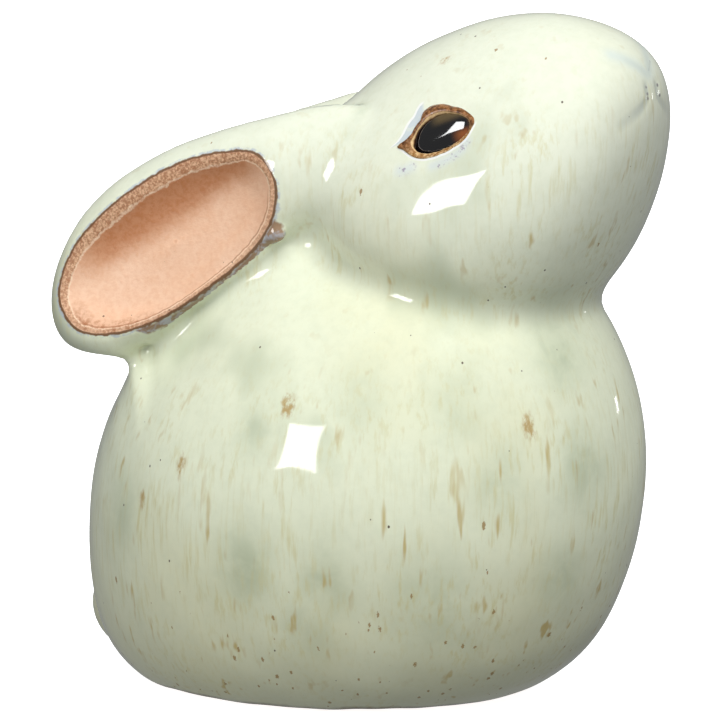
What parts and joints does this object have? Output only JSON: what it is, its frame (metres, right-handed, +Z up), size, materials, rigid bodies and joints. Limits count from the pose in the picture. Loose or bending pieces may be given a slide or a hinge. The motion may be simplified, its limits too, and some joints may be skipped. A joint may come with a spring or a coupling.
{
  "type": "ceramic rabbit figurine",
  "caption": "Sitting rabbit figurine of hollow cast clay under a glossy pale celadon glaze, ears laid back with matte peach linings, nose raised, standing on a flat unglazed foot.",
  "frame": {"origin": "middle of the figurine's plan box, on the surface it stands on", "axes": "+X the way the rabbit faces, +Y its left side, +Z up"},
  "size_m": [0.1302, 0.101, 0.1446],
  "materials": {
    "glaze": "glossy pale celadon glaze with rust drips and grey-green clouding",
    "clay": "bare fired clay, matte",
    "joining_slip": "fired joining slip, matte",
    "ear_slip": "matte sandy peach slip, darker brown towards the edge",
    "eye_gloss": "gloss black, brown at the edge",
    "eye_rim": "iron-brown oxide, satin"
  },
  "bodies": {
    "root": {"body_shell": "clay", "body_glaze": "glaze", "right_ear": "clay", "left_ear": "clay", "right_ear_glaze": "glaze", "left_ear_glaze": "glaze", "right_inner_ear": "ear_slip", "left_inner_ear": "ear_slip", "right_ear_lute": "joining_slip", "left_ear_lute": "joining_slip", "tail": "clay", "tail_glaze": "glaze", "tail_lute": "joining_slip", "right_eye": "eye_gloss", "left_eye": "eye_gloss", "right_eye_rim": "eye_rim", "left_eye_rim": "eye_rim"}
  },
  "joints": []
}
